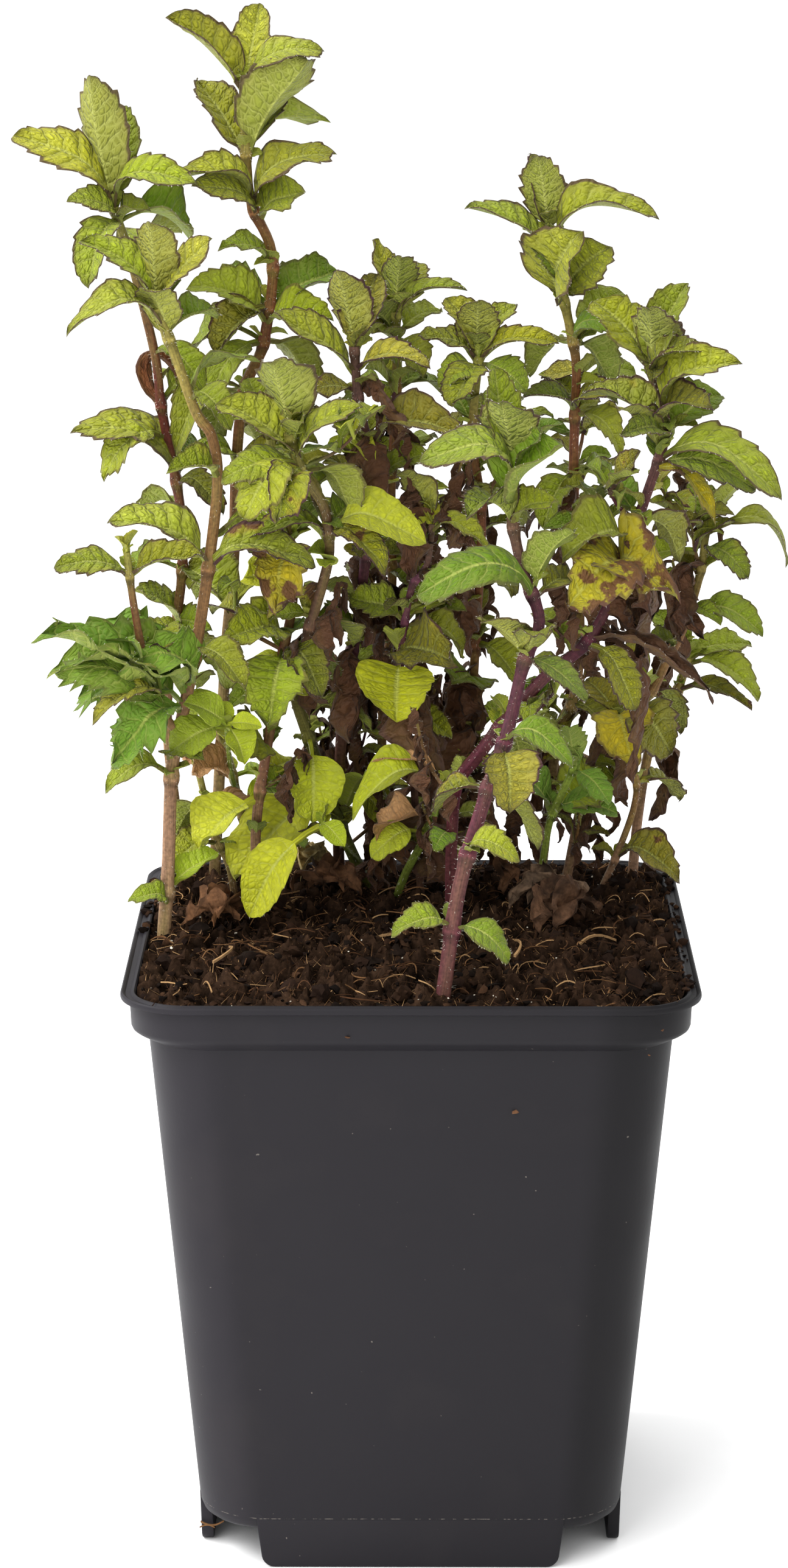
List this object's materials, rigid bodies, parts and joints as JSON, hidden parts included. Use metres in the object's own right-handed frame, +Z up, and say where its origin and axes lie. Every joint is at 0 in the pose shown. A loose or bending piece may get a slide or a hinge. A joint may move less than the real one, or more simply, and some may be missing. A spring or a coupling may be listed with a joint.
{
  "type": "potted mint plant",
  "caption": "Leafy mint shoots growing from dark soil in a square tapered nursery pot that stands on foot tabs.",
  "frame": {"origin": "on the pot's axis, at the surface that its foot tabs stand on", "axes": "+Z up, -Y towards the front, +X to the right seen from the front; the pot's sides face the X and Y axes"},
  "size_m": [0.1507, 0.11, 0.2991],
  "materials": {
    "pot_plastic": "thermoformed anthracite polypropylene, satin, lightly scuffed",
    "potting_soil": "moist dark peat and bark compost with pale root fibres",
    "mint_shoot": "green, finely hairy mint leaves with purple-brown edges on square purple, olive and tan stems",
    "dry_leaf": "dry curled brown mint leaves"
  },
  "bodies": {
    "root": {"pot": "pot_plastic", "soil": "potting_soil", "shoot_tall_left": "mint_shoot", "shoot_left_high": "mint_shoot", "shoot_left_front": "mint_shoot", "shoot_middle_left": "mint_shoot", "shoot_middle_olive": "mint_shoot", "shoot_centre_purple": "mint_shoot", "shoot_heart_thin": "mint_shoot", "shoot_front_purple": "mint_shoot", "shoot_right_arch": "mint_shoot", "shoot_right_tall": "mint_shoot", "shoot_right_brown": "mint_shoot", "shoot_right_outer": "mint_shoot", "shoot_right_curved": "mint_shoot", "shoot_right_bright": "mint_shoot", "shoot_left_lime": "mint_shoot", "shoot_left_pale": "mint_shoot", "shoot_centre_small": "mint_shoot", "shoot_back_tall": "mint_shoot", "shoot_back_middle": "mint_shoot", "dry_leaf_tan": "dry_leaf", "dry_leaf_brown": "dry_leaf", "dry_leaf_grey": "dry_leaf", "dry_leaf_back": "dry_leaf", "dry_leaf_left": "dry_leaf", "dry_leaf_right": "dry_leaf"}
  },
  "joints": []
}
